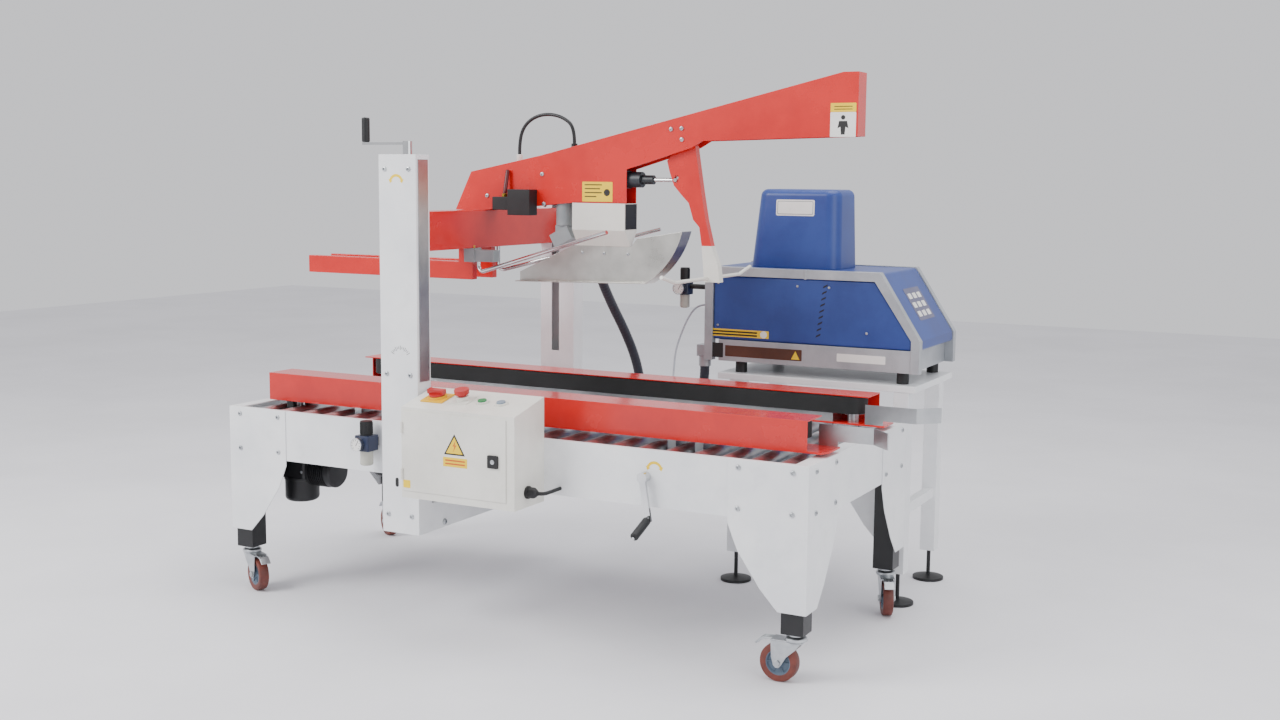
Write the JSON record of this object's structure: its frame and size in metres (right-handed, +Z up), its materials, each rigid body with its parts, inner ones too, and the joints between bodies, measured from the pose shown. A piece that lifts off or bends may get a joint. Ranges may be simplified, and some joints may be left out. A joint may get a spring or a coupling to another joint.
{
  "type": "carton sealer",
  "caption": "Carton sealer with side belts over a roller bed, a height-adjustable flap-folding head, a control box, and a hot-melt glue unit with its hose on a stand",
  "frame": {"origin": "on the floor under the middle of the machine's plan rectangle, glue stand and casters included", "axes": "+X along the cartons' travel, towards the end where they go in; +Y across the machine, away from the operator's side and towards the glue unit; +Z up"},
  "size_m": [2.0528, 1.355, 1.524],
  "materials": {
    "white_paint": "gloss",
    "red_paint": "gloss",
    "blue_paint": "satin",
    "cream_paint": "satin",
    "zinc": "satin",
    "bright_steel": "polished",
    "stainless": "brushed",
    "aluminium": "satin",
    "black_plastic": "matte",
    "red_plastic": "gloss",
    "green_plastic": "gloss",
    "grey_plastic": "gloss",
    "black_paint": "satin",
    "belt_rubber": "matte",
    "tread": "matte",
    "hose_sleeve": "matte",
    "grey_paint": "satin"
  },
  "bodies": {
    "base": {"bed_panels": "white_paint", "leg_brackets": "white_paint", "leg_tubes": "black_paint", "bed_rollers": "zinc", "slide_shafts": "bright_steel", "columns": "white_paint", "cross_member": "white_paint", "control_box": "cream_paint", "fittings": "black_plastic", "machine_screws": "zinc", "glue_stand": "white_paint", "glue_base": "aluminium", "glue_body": "blue_paint", "air_tube": "grey_plastic", "heated_hose": "hose_sleeve"},
    "near_rail": {"near_rail_cover": "red_paint", "near_rail_beam": "aluminium", "near_belt": "belt_rubber", "near_gearmotor": "black_paint"},
    "far_rail": {"far_rail_cover": "red_paint", "far_rail_beam": "aluminium", "far_belt": "belt_rubber", "far_gearmotor": "black_paint"},
    "near_drive": {"near_drive_pulley": "aluminium"},
    "near_idler": {"near_idler_pulley": "aluminium"},
    "far_drive": {"far_drive_pulley": "aluminium"},
    "far_idler": {"far_idler_pulley": "aluminium"},
    "head": {"head_carriages": "grey_paint", "cross_beam": "red_paint", "top_arm": "red_paint", "glue_shroud": "cream_paint", "fold_shoe": "stainless", "glue_gun": "grey_paint", "hold_down_rails": "red_paint", "flap_rods": "bright_steel", "air_valves": "black_plastic", "kicker_cylinder": "aluminium", "arm_cable": "black_plastic"},
    "kicker": {"kicker_arm": "red_paint", "kicker_blade": "cream_paint"},
    "piston_rod": {"kicker_rod": "bright_steel"},
    "lift_crank": {"lift_crank": "bright_steel"},
    "lift_grip": {"lift_grip": "black_plastic"},
    "far_screw": {"far_lift_screw": "bright_steel"},
    "width_crank": {"width_crank": "bright_steel"},
    "width_grip": {"width_grip": "black_plastic"},
    "door": {"box_door": "cream_paint"},
    "switch": {"main_switch": "red_plastic"},
    "estop": {"estop_button": "red_plastic"},
    "start": {"start_button": "green_plastic"},
    "stop": {"stop_button": "grey_plastic"},
    "lid": {"glue_lid": "blue_paint"},
    "swivel_front_right": {"caster_fork_front_right": "zinc"},
    "wheel_front_right": {"caster_wheel_front_right": "tread"},
    "swivel_front_left": {"caster_fork_front_left": "zinc"},
    "wheel_front_left": {"caster_wheel_front_left": "tread"},
    "swivel_rear_left": {"caster_fork_rear_left": "zinc"},
    "wheel_rear_left": {"caster_wheel_rear_left": "tread"},
    "swivel_rear_right": {"caster_fork_rear_right": "zinc"},
    "wheel_rear_right": {"caster_wheel_rear_right": "tread"}
  },
  "joints": [
    {"name": "lift_crank_turn", "type": "hinge", "parent": "base", "child": "lift_crank", "pos_m": [-0.2806, -0.5525, 1.305], "axis": [0, 0, 1], "range_deg": [-9360, 4320]},
    {"name": "head_lift", "type": "slide", "parent": "base", "child": "head", "axis": [0, 0, 1], "range_m": [-0.26, 0.12], "deforming": ["heated_hose"]},
    {"name": "far_screw_turn", "type": "hinge", "parent": "base", "child": "far_screw", "pos_m": [-0.2806, 0.2875, 1.305], "axis": [0, 0, 1], "range_deg": [-9360, 4320]},
    {"name": "lift_grip_turn", "type": "hinge", "parent": "lift_crank", "child": "lift_grip", "pos_m": [-0.4206, -0.5525, 1.365], "axis": [0, 0, 1], "continuous": true},
    {"name": "width_crank_turn", "type": "hinge", "parent": "base", "child": "width_crank", "pos_m": [0.4374, -0.1325, 0.49], "axis": [0, 1, 0], "range_deg": [-3600, 3960]},
    {"name": "width_grip_turn", "type": "hinge", "parent": "width_crank", "child": "width_grip", "pos_m": [0.4574, -0.58901, 0.36902], "axis": [0, -0.9272, -0.3746], "continuous": true},
    {"name": "near_rail_slide", "type": "slide", "parent": "base", "child": "near_rail", "axis": [0, 1, 0], "range_m": [-0.1, 0.11]},
    {"name": "far_rail_slide", "type": "slide", "parent": "base", "child": "far_rail", "axis": [0, -1, 0], "range_m": [-0.1, 0.11]},
    {"name": "near_drive_turn", "type": "hinge", "parent": "near_rail", "child": "near_drive", "pos_m": [-0.8426, -0.3508, 0.6], "axis": [0, 0, 1], "continuous": true},
    {"name": "near_idler_turn", "type": "hinge", "parent": "near_rail", "child": "near_idler", "pos_m": [0.7774, -0.3508, 0.6], "axis": [0, 0, 1], "continuous": true},
    {"name": "far_drive_turn", "type": "hinge", "parent": "far_rail", "child": "far_drive", "pos_m": [-0.8426, 0.0858, 0.6], "axis": [0, 0, 1], "continuous": true},
    {"name": "far_idler_turn", "type": "hinge", "parent": "far_rail", "child": "far_idler", "pos_m": [0.7774, 0.0858, 0.6], "axis": [0, 0, 1], "continuous": true},
    {"name": "kicker_swing", "type": "hinge", "parent": "head", "child": "kicker", "pos_m": [0.3624, -0.1325, 1.34], "axis": [0, -1, 0], "range_deg": [0, 41.8]},
    {"name": "piston_stroke", "type": "slide", "parent": "head", "child": "piston_rod", "axis": [1, 0, 0], "range_m": [0, 0.0752]},
    {"name": "door_hinge", "type": "hinge", "parent": "base", "child": "door", "pos_m": [-0.2206, -0.6735, 0.511], "axis": [0, 0, -1], "range_deg": [0, 110]},
    {"name": "main_switch_turn", "type": "hinge", "parent": "base", "child": "switch", "pos_m": [-0.1576, -0.5955, 0.6545], "axis": [0, -0.2331, 0.9724], "range_deg": [-90, 0]},
    {"name": "estop_press", "type": "slide", "parent": "base", "child": "estop", "axis": [0, 0.2331, -0.9724], "range_m": [0, 0.005], "stiffness_N_per_m": 800},
    {"name": "start_press", "type": "slide", "parent": "base", "child": "start", "axis": [0, 0.2331, -0.9724], "range_m": [0, 0.005], "stiffness_N_per_m": 800},
    {"name": "stop_press", "type": "slide", "parent": "base", "child": "stop", "axis": [0, 0.2331, -0.9724], "range_m": [0, 0.005], "stiffness_N_per_m": 800},
    {"name": "lid_hinge", "type": "hinge", "parent": "base", "child": "lid", "pos_m": [0.4584, 0.6065, 0.9843], "axis": [-1, 0, 0], "range_deg": [0, 100]},
    {"name": "swivel_front_right_turn", "type": "hinge", "parent": "base", "child": "swivel_front_right", "pos_m": [0.8424, -0.4855, 0.13], "axis": [0, 0, 1], "continuous": true},
    {"name": "wheel_front_right_turn", "type": "hinge", "parent": "swivel_front_right", "child": "wheel_front_right", "pos_m": [0.8004, -0.4855, 0.05], "axis": [0, -1, 0], "continuous": true},
    {"name": "swivel_front_left_turn", "type": "hinge", "parent": "base", "child": "swivel_front_left", "pos_m": [-0.9276, -0.4855, 0.13], "axis": [0, 0, 1], "continuous": true},
    {"name": "wheel_front_left_turn", "type": "hinge", "parent": "swivel_front_left", "child": "wheel_front_left", "pos_m": [-0.88954, -0.50325, 0.05], "axis": [0.4226, 0.9063, 0], "continuous": true},
    {"name": "swivel_rear_left_turn", "type": "hinge", "parent": "base", "child": "swivel_rear_left", "pos_m": [-0.9276, 0.2205, 0.13], "axis": [0, 0, 1], "continuous": true},
    {"name": "wheel_rear_left_turn", "type": "hinge", "parent": "swivel_rear_left", "child": "wheel_rear_left", "pos_m": [-0.96397, 0.2415, 0.05], "axis": [-0.5, -0.866, 0], "continuous": true},
    {"name": "swivel_rear_right_turn", "type": "hinge", "parent": "base", "child": "swivel_rear_right", "pos_m": [0.8424, 0.2205, 0.13], "axis": [0, 0, 1], "range_deg": [-160, 95]},
    {"name": "wheel_rear_right_turn", "type": "hinge", "parent": "swivel_rear_right", "child": "wheel_rear_right", "pos_m": [0.86015, 0.18244, 0.05], "axis": [0.9063, 0.4226, 0], "continuous": true}
  ],
  "couplings": [
    {"joint": "lift_crank_turn", "follows": "head_lift", "rad_per_m": 628.32},
    {"joint": "far_screw_turn", "follows": "head_lift", "rad_per_m": 628.32},
    {"joint": "width_crank_turn", "follows": "near_rail_slide", "rad_per_m": 628.32},
    {"joint": "far_rail_slide", "follows": "near_rail_slide", "ratio": 1},
    {"joint": "near_idler_turn", "follows": "near_drive_turn", "ratio": 1},
    {"joint": "far_idler_turn", "follows": "far_drive_turn", "ratio": 1},
    {"joint": "piston_stroke", "follows": "kicker_swing", "m_per_rad": 0.10171}
  ]
}
